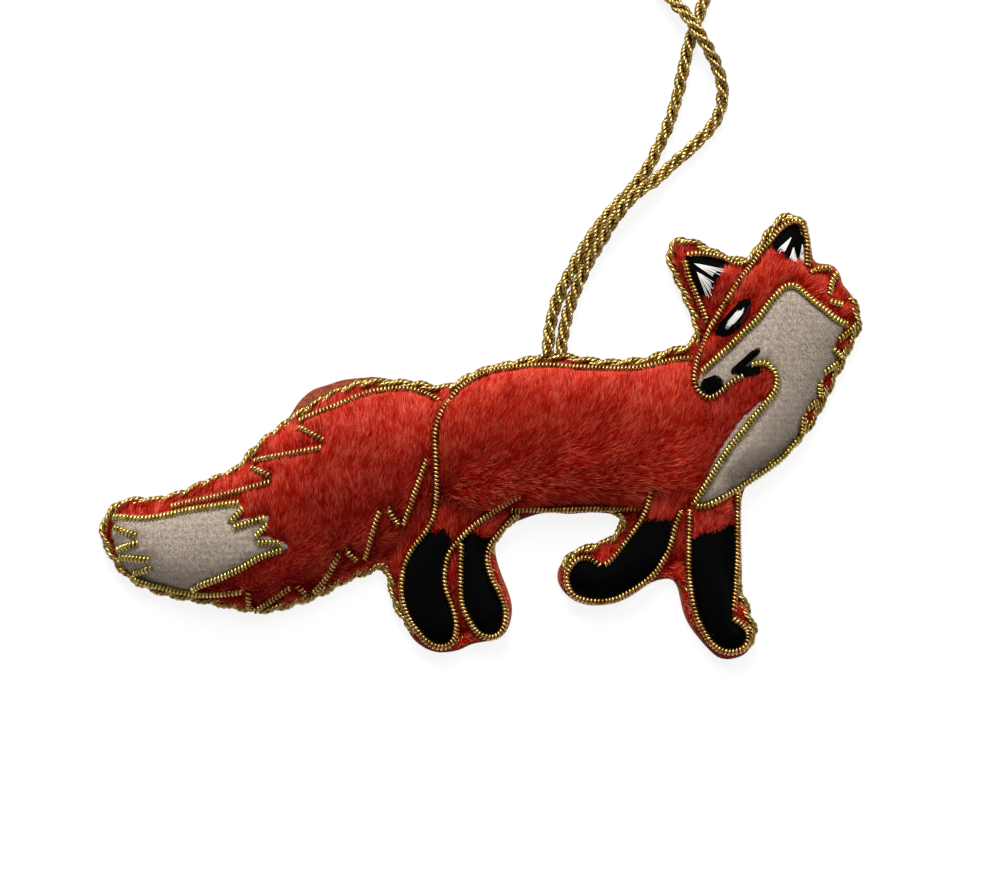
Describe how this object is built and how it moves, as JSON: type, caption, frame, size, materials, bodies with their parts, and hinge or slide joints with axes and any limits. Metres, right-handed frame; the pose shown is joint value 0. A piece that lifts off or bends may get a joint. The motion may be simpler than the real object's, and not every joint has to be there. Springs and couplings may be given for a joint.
{
  "type": "stuffed fox ornament",
  "caption": "Flat-backed stuffed fox ornament in plush, outlined in metal purl wire and edged with twisted cord, with a cord loop to hang it by.",
  "frame": {"origin": "middle of the outline with its edge cord, on the flat back", "axes": "+X from the tail to the muzzle, +Y from the paws to the ears, +Z from the flat back to the padded front"},
  "size_m": [0.1352, 0.1341, 0.0132],
  "materials": {
    "backing_felt": "matte pressed felt",
    "fibre_filling": "loose polyester fibre",
    "red_plush": "short brushed pile",
    "pale_felt": "fuzzy pressed felt",
    "black_thread": "satin stitch, soft sheen",
    "white_thread": "satin stitch, soft sheen",
    "metallic_cord": "twisted metallic yarn",
    "purl_wire": "bright coiled gilt wire"
  },
  "bodies": {
    "root": {"back_panel": "backing_felt", "stuffing": "fibre_filling", "body_plush": "red_plush", "tail_plush": "red_plush", "head_plush": "red_plush", "near_hind_leg_plush": "red_plush", "far_hind_leg_plush": "red_plush", "near_foreleg_plush": "red_plush", "far_foreleg_plush": "red_plush", "near_ear_plush": "red_plush", "far_ear_plush": "red_plush", "tail_tip_felt": "pale_felt", "chest_felt": "pale_felt", "near_hind_stocking": "black_thread", "far_hind_stocking": "black_thread", "near_foreleg_stocking": "black_thread", "far_foreleg_stocking": "black_thread", "eye": "black_thread", "eye_glint": "white_thread", "nose": "black_thread", "mouth": "black_thread", "near_ear_lining": "black_thread", "far_ear_lining": "black_thread", "edge_cord": "metallic_cord", "hanging_loop": "metallic_cord", "tail_tip_purl": "purl_wire", "tail_stripe_purl": "purl_wire", "tail_top_purl": "purl_wire", "tail_root_purl": "purl_wire", "near_hind_leg_purl": "purl_wire", "back_purl": "purl_wire", "far_hind_leg_purl": "purl_wire", "belly_purl": "purl_wire", "near_foreleg_purl": "purl_wire", "far_foreleg_purl": "purl_wire", "chest_purl": "purl_wire", "ruff_purl": "purl_wire", "face_purl": "purl_wire", "cheek_purl": "purl_wire", "near_ear_purl": "purl_wire"}
  },
  "joints": []
}
